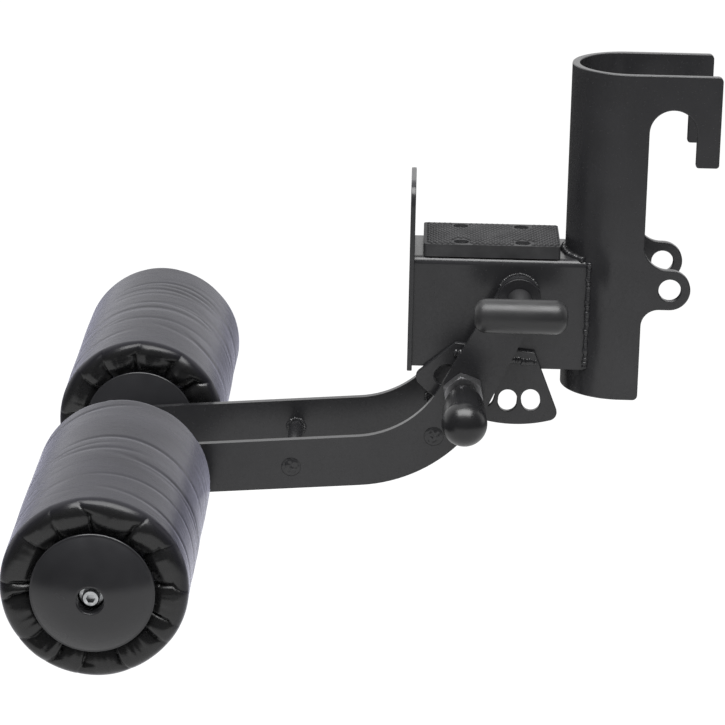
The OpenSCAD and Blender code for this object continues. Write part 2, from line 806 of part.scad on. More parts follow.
// A cap drawn from its axis, with zero at the roller's end ring
module cap_profile(hole_r, dome) {
  dome_r = (cap_r * cap_r + dome * dome) / (2 * dome);
  dome_u = cap_rim_out + dome - dome_r;
  top = cap_top(dome);
  intersection() {
    union() {
      difference() {
        translate([0, dome_u]) circle(dome_r, $fn = 256);
        translate([0, dome_u]) circle(dome_r - cap_wall, $fn = 256);
        translate([cap_r - rim_r, dome_u - dome_r]) square([2 * dome_r, 2 * dome_r]);
        translate([0, cap_under - 2 * dome_r]) square([2 * dome_r, 2 * dome_r]);
      }
      translate([cap_r - rim_r, cap_under + rim_r]) circle(rim_r);
      translate([bush_out_r, -cap_spigot]) square([cap_wall, cap_spigot + top - cap_wall]);
      children();
    }
    translate([hole_r, -cap_spigot]) square([cap_r, cap_spigot + top + 2]);
  }
}

module outer_cap(side) {
  wall_r = cap_recess_d / 2;
  color(plastic_black) at_axle() facing(side) translate([0, 0, roller_inset + roller_len])
    difference() {
      rotate_extrude() cap_profile(0, cap_dome) {
        translate([0, recess_floor - cap_wall]) square([bush_out_r + nudge, cap_wall]);
        translate([wall_r, recess_floor - cap_wall]) square([cap_wall, cap_recess_deep]);
      }
      translate([0, 0, recess_floor]) cylinder(r = wall_r, h = cap_recess_deep + 5);
      cylinder(r = end_screw_d / 2 + 0.5, h = recess_floor + nudge);
    }
}

module inner_cap(side) {
  hub_r = axle_d / 2 + 3 * run_fit;
  top = cap_top(inner_cap_dome);
  color(plastic_black) at_axle() facing(side) translate([0, 0, roller_inset]) mirror([0, 0, 1])
    difference() {
      rotate_extrude() cap_profile(hub_r, inner_cap_dome)
        translate([0, top - cap_wall - 3]) square([bush_out_r + nudge, cap_wall]);
      translate([0, 0, top]) cylinder(r = cap_r, h = 5);
    }
}

module core_tube_front() { core_tube(-1); }

module core_tube_back() { core_tube(1); }

module roller_bushes_front() { roller_bushes(-1); }

module roller_bushes_back() { roller_bushes(1); }

module foam_front() { foam(-1); }

module foam_back() { foam(1); }

module cover_front() { cover(-1); }

module cover_back() { cover(1); }

module inner_cap_front() { inner_cap(-1); }

module inner_cap_back() { inner_cap(1); }

module outer_cap_front() { outer_cap(-1); }

module outer_cap_back() { outer_cap(1); }

rack_sleeve();
box_channel();
stop_plate();
step_pad();
pad_screws();
sector_plate();
pivot_tube();
pivot_bushes();
arm_plate_front();
arm_plate_back();
cross_rods();
pivot_bolt();
pivot_washers();
pivot_nut();
plunger_barrel();
plunger_spring();
plunger_pin();
plunger_knob();
clamp_insert();
clamp_tee();
roller_axle();
axle_plugs();
spacer_rings();
end_washers();
end_screws();
core_tube_front();
core_tube_back();
roller_bushes_front();
roller_bushes_back();
foam_front();
foam_back();
cover_front();
cover_back();
inner_cap_front();
inner_cap_back();
outer_cap_front();
outer_cap_back();
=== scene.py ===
import bpy, bmesh, json, math, random
from mathutils import Matrix, Vector, noise


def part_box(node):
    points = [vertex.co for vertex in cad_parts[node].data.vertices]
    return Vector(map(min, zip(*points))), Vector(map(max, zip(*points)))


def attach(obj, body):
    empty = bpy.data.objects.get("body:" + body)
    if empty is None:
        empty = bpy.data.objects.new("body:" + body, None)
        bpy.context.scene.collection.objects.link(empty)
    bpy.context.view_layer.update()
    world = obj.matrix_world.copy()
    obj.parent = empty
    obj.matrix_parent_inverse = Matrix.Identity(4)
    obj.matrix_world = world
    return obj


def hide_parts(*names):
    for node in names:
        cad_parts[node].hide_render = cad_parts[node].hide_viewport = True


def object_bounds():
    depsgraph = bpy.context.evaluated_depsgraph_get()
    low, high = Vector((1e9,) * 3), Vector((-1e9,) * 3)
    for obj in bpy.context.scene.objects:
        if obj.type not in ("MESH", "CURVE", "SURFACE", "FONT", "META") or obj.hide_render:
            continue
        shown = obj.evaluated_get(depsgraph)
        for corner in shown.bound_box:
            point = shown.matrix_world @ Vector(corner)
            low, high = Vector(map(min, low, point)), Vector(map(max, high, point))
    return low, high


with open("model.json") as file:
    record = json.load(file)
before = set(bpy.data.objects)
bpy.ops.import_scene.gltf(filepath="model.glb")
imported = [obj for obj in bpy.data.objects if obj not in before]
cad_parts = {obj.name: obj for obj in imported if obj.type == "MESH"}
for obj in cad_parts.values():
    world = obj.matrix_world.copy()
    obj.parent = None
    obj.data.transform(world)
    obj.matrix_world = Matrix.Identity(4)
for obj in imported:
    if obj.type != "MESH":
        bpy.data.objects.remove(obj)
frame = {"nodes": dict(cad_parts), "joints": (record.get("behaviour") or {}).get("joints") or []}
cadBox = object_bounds()

# Roman chair attachment for a rack upright. Everything is in metres, in the frame of the packed
# model: +X from the rollers to the upright, +Z up, the handle and the plunger on the -Y side.
mm = 0.001
axisX, axisY, axisZ = Vector((1, 0, 0)), Vector((0, 1, 0)), Vector((0, 0, 1))
jointPlace = {joint["name"]: Vector(joint.get("pos_m", (0, 0, 0))) for joint in frame["joints"]}
pivotPlace = jointPlace["arm_tilt"]
axlePlace = jointPlace["roller_front_spin"]
ends = (("front", -1), ("back", 1))  # each roller, and its side along Y


def addObject(name, data):
    added = bpy.data.objects.new(name, data)
    bpy.context.scene.collection.objects.link(added)
    return added


# Camera

cameraView = {
    "place": (-0.205376, -2.473294, 0.692561),
    "yaw": -0.0162,
    "pitch": 0.3032,
    "roll": -0.0207,
    "lens": 156.34,
    "sensor": 36,
    "reach": 50,
}


def setCamera(view):
    yaw, pitch, roll = view["yaw"], view["pitch"], view["roll"]
    flat = math.cos(pitch)
    ahead = Vector((math.sin(yaw) * flat, math.cos(yaw) * flat, -math.sin(pitch)))
    level = Vector((math.cos(yaw), -math.sin(yaw), 0))
    down = ahead.cross(level)
    if down.z > 0:
        down = -down
    right = math.cos(roll) * level + math.sin(roll) * down
    lower = math.cos(roll) * down - math.sin(roll) * level
    camera = addObject("camera", bpy.data.cameras.new("camera"))
    turn = Matrix((right, -lower, -ahead)).transposed().to_4x4()
    camera.matrix_world = Matrix.Translation(view["place"]) @ turn
    camera.data.lens = view["lens"]
    camera.data.sensor_width = view["sensor"]
    camera.data.clip_end = view["reach"]
    bpy.context.scene.camera = camera


setCamera(cameraView)
bpy.context.scene.view_settings.view_transform = "Standard"
print("camera set")


# Node trees

def feed(tree, node, inputs):
    for key, value in inputs.items():
        if isinstance(value, bpy.types.Node):
            value = value.outputs[0]
        if isinstance(value, bpy.types.NodeSocket):
            tree.links.new(value, node.inputs[key])
        else:
            node.inputs[key].default_value = value


def addNode(tree, kind, inputs=None, **settings):
    node = tree.nodes.new(kind)
    for name, value in settings.items():
        setattr(node, name, value)
    feed(tree, node, inputs or {})
    return node


def product(tree, first, second):
    return addNode(tree, "ShaderNodeMath", {0: first, 1: second}, operation="MULTIPLY")


def noiseOn(tree, place, scale, detail=2.0, roughness=0.5, distortion=0.0):
    return addNode(tree, "ShaderNodeTexNoise", {
        "Vector": place, "Scale": scale, "Detail": detail, "Roughness": roughness,
        "Distortion": distortion,
    }).outputs["Fac"]


def spread(tree, source, low, high, fromLow=0.3, fromHigh=0.7):
    return addNode(tree, "ShaderNodeMapRange", {
        "Value": source, "From Min": fromLow, "From Max": fromHigh, "To Min": low, "To Max": high,
    }).outputs["Result"]


def blendColours(tree, factor, first, second):
    mix = addNode(tree, "ShaderNodeMix", {"Factor": factor}, data_type="RGBA")
    for socket, value in ((mix.inputs[6], first), (mix.inputs[7], second)):
        if isinstance(value, bpy.types.NodeSocket):
            tree.links.new(value, socket)
        else:
            socket.default_value = (*value, 1)
    return mix.outputs[2]


def sumOf(tree, first, second, share):
    scaled = product(tree, second, share)
    return addNode(tree, "ShaderNodeMath", {0: first, 1: scaled}, operation="ADD").outputs[0]


def tinted(tree, source, first, second, low=0.3, high=0.7):
    return blendColours(tree, spread(tree, source, 0, 1, low, high), first, second)


def bumped(tree, height, depth):
    return addNode(tree, "ShaderNodeBump", {"Height": height, "Distance": depth, "Strength": 1.0})


def startMaterial(name, colour, metallic=0.0):
    # a material, its tree and shader, and the place of each point on the piece
    material = bpy.data.materials.new(name)
    material.use_nodes = True
    material.diffuse_color = (*colour, 1)
    tree = material.node_tree
    shader = tree.nodes["Principled BSDF"]
    feed(tree, shader, {"Metallic": metallic})
    return material, tree, shader, addNode(tree, "ShaderNodeTexCoord").outputs["Object"]


def brighter(colour, share):
    return [part * share for part in colour]


# Materials

powderCoat = {
    "colour": (0.020, 0.020, 0.0215),
    "cloudBright": 1.25,
    "cloudScale": 28,
    "roughness": (0.20, 0.28),
    "grainSize": 0.9 * mm,
    "grainDepth": 0.008 * mm,
    "waveSize": 2.6 * mm,
    "waveShare": 1.6,
}


def makePowderCoat(values):
    material, tree, shader, place = startMaterial("powderCoatBlack", values["colour"])
    grain = noiseOn(tree, place, 1 / values["grainSize"], 3, 0.6)
    wave = noiseOn(tree, place, 1 / values["waveSize"], 2)
    cloud = noiseOn(tree, place, values["cloudScale"], 3)
    pale = brighter(values["colour"], values["cloudBright"])
    height = sumOf(tree, grain, wave, values["waveShare"])
    feed(tree, shader, {
        "Base Color": tinted(tree, cloud, values["colour"], pale),
        "Roughness": spread(tree, wave, *values["roughness"]),
        "Normal": bumped(tree, height, values["grainDepth"]),
    })
    return material


zincPlate = {
    "colour": (0.62, 0.63, 0.64),
    "dull": (0.42, 0.43, 0.44),
    "roughness": (0.20, 0.36),
    "spangle": 3.0 * mm,
    "scratchScale": 1600,
    "scratchStretch": (1, 5, 1),
    "scratchDepth": 0.004 * mm,
}
springSteel = {**zincPlate, "colour": (0.42, 0.43, 0.44), "dull": (0.30, 0.30, 0.31)}
blackSteel = {
    **zincPlate, "colour": (0.44, 0.44, 0.45), "dull": (0.30, 0.30, 0.31), "roughness": (0.36, 0.48),
}


def makeMetal(name, values):
    material, tree, shader, place = startMaterial(name, values["colour"], metallic=1.0)
    spangle = noiseOn(tree, place, 1 / values["spangle"], 4, 0.65, 0.4)
    stretched = addNode(tree, "ShaderNodeMapping", {
        "Vector": place, "Scale": values["scratchStretch"],
    })
    scratch = noiseOn(tree, stretched, values["scratchScale"], 2)
    feed(tree, shader, {
        "Base Color": tinted(tree, spangle, values["colour"], values["dull"], 0.35, 0.65),
        "Roughness": spread(tree, spangle, *values["roughness"]),
        "Normal": bumped(tree, scratch, values["scratchDepth"]),
    })
    return material


mouldedPlastic = {
    "cap": {
        "colour": (0.020, 0.020, 0.022), "roughness": (0.20, 0.28),
        "grain": 0.5 * mm, "depth": 0.006 * mm,
    },
    "tee": {
        "colour": (0.022, 0.022, 0.023), "roughness": (0.32, 0.46),
        "grain": 0.8 * mm, "depth": 0.034 * mm,
    },
    "knob": {
        "colour": (0.012, 0.012, 0.013), "roughness": (0.26, 0.33),
        "grain": 3 * mm, "depth": 0.004 * mm,
    },
    "nylon": {
        "colour": (0.70, 0.69, 0.65), "roughness": (0.40, 0.52),
        "grain": 0.8 * mm, "depth": 0.006 * mm,
    },
    "flowScale": 45,
    "flowBright": 1.2,
}


def makePlastic(name, kind):
    values = mouldedPlastic[kind]
    material, tree, shader, place = startMaterial(name, values["colour"])
    grain = noiseOn(tree, place, 1 / values["grain"], 2, 0.6)
    flow = noiseOn(tree, place, mouldedPlastic["flowScale"], 2)
    pale = brighter(values["colour"], mouldedPlastic["flowBright"])
    feed(tree, shader, {
        "Base Color": tinted(tree, flow, values["colour"], pale),
        "Roughness": spread(tree, flow, *values["roughness"]),
        "Normal": bumped(tree, grain, values["depth"]),
    })
    return material


leatherette = {
    # painted light and shade: the barrel colours are lavender for the lamp-lit sheen of the barrel,
    # and the gathered-shade colour is the darker neutral black painted on the ends as their shade
    "colour": (0.012, 0.0116, 0.0155),
    "bright": (0.017, 0.0165, 0.0225),
    "gatheredShade": (0.011, 0.011, 0.0115),
    "cloudScale": 30,
    "sheen": (0.45, 0.04),
    "sheenRoughness": 0.3,
    "sheenTint": (0.80, 0.80, 1.0),
    "ior": (1.24, 1.50),
    "roughness": (0.23, 0.31),
    "pebble": 1.1 * mm,
    "pebbleDepth": 0.030 * mm,
    "lineScale": 5.0,
    "lineShare": 0.56,
}


def makeLeatherette(values):
    material, tree, shader, place = startMaterial("leatheretteBlack", values["colour"])
    wrap = addNode(tree, "ShaderNodeAttribute", attribute_name="wrap").outputs["Vector"]
    pebble = addNode(tree, "ShaderNodeTexVoronoi", {
        "Vector": place, "Scale": 1 / values["pebble"],
    }, feature="F1").outputs["Distance"]
    lines = noiseOn(tree, wrap, values["lineScale"], 4, 0.6)
    cloud = noiseOn(tree, place, values["cloudScale"], 3)
    # painted light and shade: the stretched barrel is coloured lighter and lavender for its pale
    # sheen, and the gathered ends are coloured darker and neutral black, though both are one
    # leatherette; the ends also get less sheen and a higher index, so they read black and glossy
    gatheredShade = addNode(tree, "ShaderNodeAttribute", attribute_name="gatheredShade").outputs["Fac"]
    barrel = tinted(tree, cloud, values["colour"], values["bright"])
    height = sumOf(tree, pebble, lines, values["lineShare"])
    feed(tree, shader, {
        "Base Color": blendColours(tree, gatheredShade, barrel, values["gatheredShade"]),
        "Sheen Weight": spread(tree, gatheredShade, *values["sheen"], 0, 1),
        "Sheen Roughness": values["sheenRoughness"],
        "Sheen Tint": (*values["sheenTint"], 1),
        "IOR": spread(tree, gatheredShade, *values["ior"], 0, 1),
        "Roughness": spread(tree, lines, *values["roughness"]),
        "Normal": bumped(tree, height, values["pebbleDepth"]),
    })
    return material


padRubber = {
    "colour": (0.020, 0.020, 0.0215),
    "dust": (0.040, 0.040, 0.042),
    "dustScale": 60,
    "roughness": (0.55, 0.72),
    "grain": 0.5 * mm,
    "depth": 0.03 * mm,
}


def makeRubber(values):
    material, tree, shader, place = startMaterial("rubberBlack", values["colour"])
    grain = noiseOn(tree, place, 1 / values["grain"], 3, 0.65)
    cloud = noiseOn(tree, place, values["dustScale"], 4)
    feed(tree, shader, {
        "Base Color": tinted(tree, cloud, values["colour"], values["dust"]),
        "Roughness": spread(tree, grain, *values["roughness"]),
        "Normal": bumped(tree, grain, values["depth"]),
    })
    return material


finish = {
    "powderCoat": makePowderCoat(powderCoat),
    "zinc": makeMetal("zincPlate", zincPlate),
    "springSteel": makeMetal("springSteel", springSteel),
    "blackSteel": makeMetal("blackenedSteel", blackSteel),
    "capPlastic": makePlastic("capPlastic", "cap"),
    "teePlastic": makePlastic("teePlastic", "tee"),
    "knobPlastic": makePlastic("knobPlastic", "knob"),
    "nylon": makePlastic("nylonWhite", "nylon"),
    "leatherette": makeLeatherette(leatherette),
    "rubber": makeRubber(padRubber),
}
print("materials made")


# Making and placing pieces

edgeRule = {
    "segments": 3, "bevelAbove": 30, "sharpAbove": 35, "mergeBelow": 0.002 * mm, "flatBelow": 0.3,
}


def placePiece(name, mesh, finishName, body, nodes=(), sharpAngle=edgeRule["sharpAbove"]):
    mesh.materials.clear()
    mesh.materials.append(finish[finishName])
    for face in mesh.polygons:
        face.use_smooth = True
        face.material_index = 0
    if sharpAngle:
        mesh.set_sharp_from_angle(angle=math.radians(sharpAngle))
    piece = addObject(name, mesh)
    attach(piece, body)
    if nodes:
        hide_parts(*nodes)
    return piece


def meshFrom(shape, name):
    mesh = bpy.data.meshes.new(name)
    shape.to_mesh(mesh)
    shape.free()
    return mesh


def resultOf(maker):
    # the mesh that an object's modifiers give, after which the object goes
    graph = bpy.context.evaluated_depsgraph_get()
    mesh = bpy.data.meshes.new_from_object(maker.evaluated_get(graph), depsgraph=graph)
    bpy.data.objects.remove(maker)
    return mesh


def bakedMesh(mesh, *modifiers):
    maker = addObject("maker", mesh)
    for kind, settings in modifiers:
        modifier = maker.modifiers.new(kind, kind)
        for name, value in settings.items():
            setattr(modifier, name, value)
    return resultOf(maker)


armEnd = {"radius": 17.4 * mm, "slack": 0.3 * mm, "above": 5 * mm}


def narrowEnd(shape, values):
    # the CAD's end round the pivot is as wide as the arm, so its rim is drawn in
    full = max(
        math.hypot(vert.co.x - pivotPlace.x, vert.co.z - pivotPlace.z)
        for vert in shape.verts if vert.co.z > pivotPlace.z + values["above"]
    )
    for vert in shape.verts:
        across = Vector((vert.co.x - pivotPlace.x, 0, vert.co.z - pivotPlace.z))
        if abs(across.length - full) < values["slack"]:
            across *= values["radius"] / full
            vert.co = (pivotPlace.x + across.x, vert.co.y, pivotPlace.z + across.z)


def softenedCopy(node, width):
    shape = bmesh.new()
    shape.from_mesh(frame["nodes"][node].data)
    bmesh.ops.remove_doubles(shape, verts=shape.verts, dist=edgeRule["mergeBelow"])
    bmesh.ops.dissolve_limit(
        shape, angle_limit=math.radians(edgeRule["flatBelow"]), verts=shape.verts,
        edges=shape.edges, use_dissolve_boundaries=False,
    )
    if node.startswith("arm_plate"):
        narrowEnd(shape, armEnd)
    bevelAbove = math.radians(edgeRule["bevelAbove"])
    sharp = [
        edge for edge in shape.edges
        if len(edge.link_faces) == 2 and edge.calc_face_angle(0) > bevelAbove
    ]
    bmesh.ops.bevel(
        shape, geom=sharp, offset=width, offset_type="OFFSET", segments=edgeRule["segments"],
        profile=0.5, affect="EDGES", clamp_overlap=True,
    )
    return meshFrom(shape, node)


def softPart(pieceName, node, finishName, body, width):
    mesh = softenedCopy(node, width)
    for face in mesh.polygons:
        face.use_smooth = True
    mesh.set_sharp_from_angle(angle=math.radians(edgeRule["sharpAbove"]))
    mesh = bakedMesh(mesh, (
        "WEIGHTED_NORMAL", {"mode": "FACE_AREA", "weight": 50, "keep_sharp": True},
    ))
    placePiece(pieceName, mesh, finishName, body, [node])


def squareTo(along):
    # a direction across the given one
    return axisX if abs(along.dot(axisX)) < 0.9 else axisZ


def turnsOf(count):
    return [2 * math.pi * i / count for i in range(count)]


def lathe(profile, centre, along, segments=128):
    # profile runs from the axis or a bore outwards and back, as (radius, distance along) pairs
    first = squareTo(along)
    across = (first - along * first.dot(along)).normalized()
    other = along.cross(across)
    shape = bmesh.new()
    rings = []
    for radius, distance in profile:
        middle = centre + along * distance
        if radius < 1e-7:
            rings.append([shape.verts.new(middle)])
            continue
        rings.append([
            shape.verts.new(middle + (across * math.cos(turn) + other * math.sin(turn)) * radius)
            for turn in turnsOf(segments)
        ])
    closed = profile[0] == profile[-1]
    if closed:
        for vert in rings.pop():
            shape.verts.remove(vert)
    pairs = list(zip(rings, rings[1:])) + ([(rings[-1], rings[0])] if closed else [])
    for low, high in pairs:
        for i in range(segments):
            j = (i + 1) % segments
            corners = [
                low[i % len(low)], low[j % len(low)], high[j % len(high)], high[i % len(high)],
            ]
            unique = list(dict.fromkeys(corners))
            if len(unique) > 2:
                shape.faces.new(unique)
    bmesh.ops.recalc_face_normals(shape, faces=shape.faces)
    return meshFrom(shape, "lathe")


def arcPoints(centreR, centreU, radius, start, end, count):
    # an arc in the (radius, distance) plane, with angles in degrees from the outward direction
    turns = (math.radians(start + (end - start) * i / count) for i in range(count + 1))
    return [(centreR + radius * math.cos(a), centreU + radius * math.sin(a)) for a in turns]


# Plates, tubes, bolts and other hard pieces

hardPieces = [
    # piece, node, finish, body, edge radius
    ("rackSleeve", "rack_sleeve", "powderCoat", "bracket", 0.9 * mm),
    ("boxChannel", "box_channel", "powderCoat", "bracket", 0.6 * mm),
    ("stopPlate", "stop_plate", "powderCoat", "bracket", 0.7 * mm),
    ("sectorPlate", "sector_plate", "powderCoat", "bracket", 0.6 * mm),
    ("pivotTube", "pivot_tube", "powderCoat", "bracket", 0.5 * mm),
    ("pivotBushes", "pivot_bushes", "nylon", "bracket", 0.2 * mm),
    ("padScrews", "pad_screws", "zinc", "bracket", 0.2 * mm),
    ("armPlateFront", "arm_plate_front", "powderCoat", "arm", 0.8 * mm),
    ("armPlateBack", "arm_plate_back", "powderCoat", "arm", 0.8 * mm),
    ("crossRods", "cross_rods", "powderCoat", "arm", 0.5 * mm),
    ("pivotBolt", "pivot_bolt", "zinc", "arm", 0.5 * mm),
    ("pivotWashers", "pivot_washers", "powderCoat", "arm", 0.4 * mm),
    ("pivotNut", "pivot_nut", "zinc", "arm", 0.3 * mm),
    ("plungerBarrel", "plunger_barrel", "blackSteel", "arm", 0.3 * mm),
    ("rollerAxle", "roller_axle", "zinc", "arm", 0.4 * mm),
    ("axlePlugs", "axle_plugs", "zinc", "arm", 0.2 * mm),
    ("spacerRings", "spacer_rings", "powderCoat", "arm", 0.4 * mm),
    ("endWashers", "end_washers", "zinc", "arm", 0.2 * mm),
    ("endScrews", "end_screws", "zinc", "arm", 0.3 * mm),
    ("plungerPin", "plunger_pin", "zinc", "plunger", 0.2 * mm),
    ("clampInsert", "clamp_insert", "blackSteel", "clamp_handle", 0.3 * mm),
    ("clampTee", "clamp_tee", "teePlastic", "clamp_handle", 0.8 * mm),
    ("stepPad", "step_pad", "rubber", "bracket", 0.8 * mm),
]
for piece in hardPieces:
    softPart(*piece)

# the spring and what the covers hide keep their CAD shape
keptNodes = {
    "plunger_spring": "springSteel",
    "core_tube_front": "capPlastic",
    "core_tube_back": "capPlastic",
    "roller_bushes_front": "nylon",
    "roller_bushes_back": "nylon",
}
for node, finishName in keptNodes.items():
    kept = frame["nodes"][node].data
    kept.materials.clear()
    kept.materials.append(finish[finishName])
print("hard pieces made")

# Pear knob of the index plunger: a neck that widens early, and the ball

pearKnob = {
    "neckRadius": 13.0 * mm,
    "neckRound": 2.2 * mm,
    "fullness": 3.0,
    "longer": 3.0 * mm,
    "boreRadius": 5.1 * mm,
    "boreDepth": 30 * mm,
    "ballFrom": -14,
    "steps": 40,
}


def makePearKnob(values):
    low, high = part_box("plunger_knob")
    centre = (low + high) / 2
    start, end = -high.y, -low.y + values["longer"]
    ballRadius = (high.x - low.x) / 2
    ballPlace = end - ballRadius
    neck, rounding, steps = values["neckRadius"], values["neckRound"], values["steps"]
    boreEnd = start + values["boreDepth"]
    profile = [(0, boreEnd), (values["boreRadius"], boreEnd), (values["boreRadius"], start)]
    profile += arcPoints(neck - rounding, start + rounding, rounding, -90, 0, 6)
    joinAngle = math.radians(values["ballFrom"])
    joinR = ballRadius * math.cos(joinAngle)
    joinU = ballPlace + ballRadius * math.sin(joinAngle)
    for i in range(1, steps):
        t = i / steps
        radius = neck + (joinR - neck) * (1 - (1 - t) ** values["fullness"])
        profile.append((radius, start + rounding + (joinU - start - rounding) * t))
    profile += arcPoints(0, ballPlace, ballRadius, math.degrees(joinAngle), 89.5, steps)
    profile.append((0, end))
    mesh = lathe(profile, Vector((centre.x, 0, centre.z)), -axisY)
    placePiece("plungerKnob", mesh, "knobPlastic", "plunger", ["plunger_knob"])


makePearKnob(pearKnob)

# Domed caps of the rollers

rollerEnd = {"inner": 80.8 * mm, "length": 230 * mm}
domedCap = {
    "rimOut": 13.1 * mm,
    "domeHeight": {"outer": 17.0 * mm, "inner": 10.0 * mm},
    "domeSteps": 48,
    "crownCut": 1 * mm,
    "rimRound": 1.4 * mm,
    "wall": 3.0 * mm,
    "recessRadius": 10.0 * mm,
    "recessDepth": 15.0 * mm,
    "recessRound": 0.6 * mm,
    "screwRadius": 4.5 * mm,
    "lipRound": 1.2 * mm,
    "hubRadius": 12.7 * mm,
    "hubDepth": 5 * mm,
    "hubEdge": 0.5 * mm,
    "spigotRadius": 19.9 * mm,
    "spigotDepth": 22.0 * mm,
    "segments": 160,
}


def domeSphere(capRadius, dome):
    return (capRadius ** 2 + dome ** 2) / (2 * dome)


def domeHeightAt(radius, capRadius, dome, values):
    sphere = domeSphere(capRadius, dome)
    return values["rimOut"] + math.sqrt(sphere ** 2 - radius ** 2) - (sphere - dome)


def recessedMiddle(capRadius, dome, values):
    # recess for the end screw: its profile, where the dome starts, and the inside's last points
    radius, lip, corner = values["recessRadius"], values["lipRound"], values["recessRound"]
    hole, wall = values["screwRadius"], values["wall"]
    edge = radius + lip
    lipTop = domeHeightAt(edge, capRadius, dome, values)
    floor = values["rimOut"] + dome - values["crownCut"] - values["recessDepth"]
    profile = [(hole, floor - wall), (hole, floor), (radius - corner, floor)]
    profile += arcPoints(radius - corner, floor + corner, corner, -90, 0, 3)[1:]
    profile += arcPoints(edge, lipTop - lip, lip, 180, 100, 8)
    inside = [(values["spigotRadius"] - wall, floor - wall), (hole, floor - wall)]
    return profile, edge + lip * 0.3, inside


def hubMiddle(capRadius, dome, values):
    # the same for the bore that clears the axle
    hub, edge, cut = values["hubRadius"], values["hubEdge"], values["crownCut"]
    top = values["rimOut"] + dome - cut
    under = top - values["hubDepth"]
    sphere = domeSphere(capRadius, dome)
    start = math.sqrt(sphere ** 2 - (sphere - cut) ** 2)
    profile = [(hub, under), (hub, top - edge), (hub + edge, top)]
    return profile, start, [(values["spigotRadius"] - values["wall"], under), (hub, under)]


def makeCap(end, side, outer, values):
    kind = "outer" if outer else "inner"
    node = f"{kind}_cap_{end}"
    low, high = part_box(node)
    capRadius = (high.x - low.x) / 2
    base = rollerEnd["inner"] + (rollerEnd["length"] if outer else 0)
    start = Vector((axlePlace.x, side * base, axlePlace.z))
    rim, wall, spigot = values["rimRound"], values["wall"], values["spigotRadius"]
    dome, steps = values["domeHeight"][kind], values["domeSteps"]
    middle = recessedMiddle if outer else hubMiddle
    profile, firstRadius, inside = middle(capRadius, dome, values)
    for i in range(steps + 1):
        radius = firstRadius + (capRadius - rim - firstRadius) * i / steps
        profile.append((radius, domeHeightAt(radius, capRadius, dome, values)))
    rimPlace = domeHeightAt(capRadius - rim, capRadius, dome, values) - rim
    profile += arcPoints(capRadius - rim, rimPlace, rim, 75, -90, 12)
    under = rimPlace - rim
    first = capRadius - rim - values["crownCut"]
    for i in range(9):
        radius = first + (spigot - first) * i / 8
        profile.append((radius, max(under, domeHeightAt(radius, capRadius, dome, values) - wall)))
    foot = -values["spigotDepth"]
    profile += [(spigot, foot), (spigot - wall, foot)] + inside
    mesh = lathe(profile, start, axisY * (side if outer else -side), values["segments"])
    placePiece(f"{kind}Cap_{end}", mesh, "capPlastic", f"roller_{end}", [node])


for end, side in ends:
    for outer in (True, False):
        makeCap(end, side, outer, domedCap)
print("knob and caps made")

# Roller covers: leatherette round the foam, wrinkled along the barrel and gathered under each cap

rollerCover = {
    "radius": 70.0 * mm,
    "endOut": 10.0 * mm,
    "endRound": 11.0 * mm,
    "tuckRadius": 44.0 * mm,
    "tuckDepth": 5.0 * mm,
    "tuckEdge": 2 * mm,
    "tuckBack": 4 * mm,
    "boreRadius": 30.0 * mm,
    "around": 480,
    "barrelRings": 170,
    "cornerRings": 14,
    "faceRings": 18,
    "cornerShare": 0.85,
    "pleats": 14,
    "pleatDepth": (3.0 * mm, 7.5 * mm),
    "pleatShift": 0.42,
    "pleatLean": 0.16,
    "pleatSkew": (0.55, 1.9),
    "pleatReach": (0.7, 1.25),
    "wrinkles": 30,
    "wrinkleSpan": 0.85,
    "wrinkleReach": (0.5, 1.4),
    "wrinkleWidth": (1.8 * mm, 4.2 * mm),
    "wrinkleDepth": (0.15 * mm, 0.62 * mm),
    "wrinkleBow": 12 * mm,
    "lumpDepth": 0.7 * mm,
    "lumpCount": 1.3,
    "lumpLength": 60 * mm,
    "billow": 2.2 * mm,
    "billowCount": 1.9,
    "gatherFrom": 0.3,
    "gatherDepth": 0.9 * mm,
    "gatherCount": 15,
    "wrapTurn": 0.6,
    "wrapLength": 34 * mm,
    "shadeAndGlossRise": 2.2,
    "fill": 0.9,
    "seed": {"front": 11, "back": 29},
}


def coverRings(values):
    # (radius, distance, outward slope as a pair, share of the end gathers) for each ring
    half = rollerEnd["length"] / 2
    cornerU = half + values["endOut"] - values["endRound"]
    cornerR = values["radius"] - values["endRound"]
    barrel = [
        (values["radius"], -cornerU + 2 * cornerU * i / values["barrelRings"], (1, 0), 0)
        for i in range(values["barrelRings"] + 1)
    ]
    bothEnds = []
    for way in (-1, 1):
        part = []
        for i in range(1, values["cornerRings"] + 1):
            turn = math.pi / 2 * i / values["cornerRings"]
            share = i / values["cornerRings"]
            part.append((
                cornerR + values["endRound"] * math.cos(turn),
                way * (cornerU + values["endRound"] * math.sin(turn)),
                (math.cos(turn), way * math.sin(turn)),
                values["cornerShare"] * share ** 1.6,
            ))
        for i in range(1, values["faceRings"] + 1):
            t = i / values["faceRings"]
            radius = cornerR + (values["tuckRadius"] - cornerR) * t
            dip = values["tuckDepth"] * t ** 2.4
            share = values["cornerShare"] + (1 - values["cornerShare"]) * t
            part.append((radius, way * (half + values["endOut"] - dip), (0, way), share))
        bothEnds.append(part)
    back = half - values["tuckBack"]
    tuck = values["tuckRadius"] - values["tuckEdge"]
    bore = values["boreRadius"]
    closing = [
        (radius, place, (0, 0), 0)
        for radius, place in ((tuck, back), (bore, back), (bore, -back), (tuck, -back))
    ]
    return bothEnds[0][::-1] + barrel + bothEnds[1] + closing


def makePleats(rng, values):
    step = 2 * math.pi / values["pleats"]
    shift, lean = values["pleatShift"], values["pleatLean"]
    pleats = []
    turn = rng.uniform(0, step)
    for i in range(values["pleats"]):
        pleats.append({
            "turn": turn + rng.uniform(-shift, shift) * step,
            "depth": rng.uniform(*values["pleatDepth"]),
            "lean": rng.uniform(-lean, lean),
            "skew": rng.uniform(*values["pleatSkew"]),
            "reach": rng.uniform(*values["pleatReach"]),
        })
        turn += step
    return sorted(pleats, key=lambda pleat: pleat["turn"])


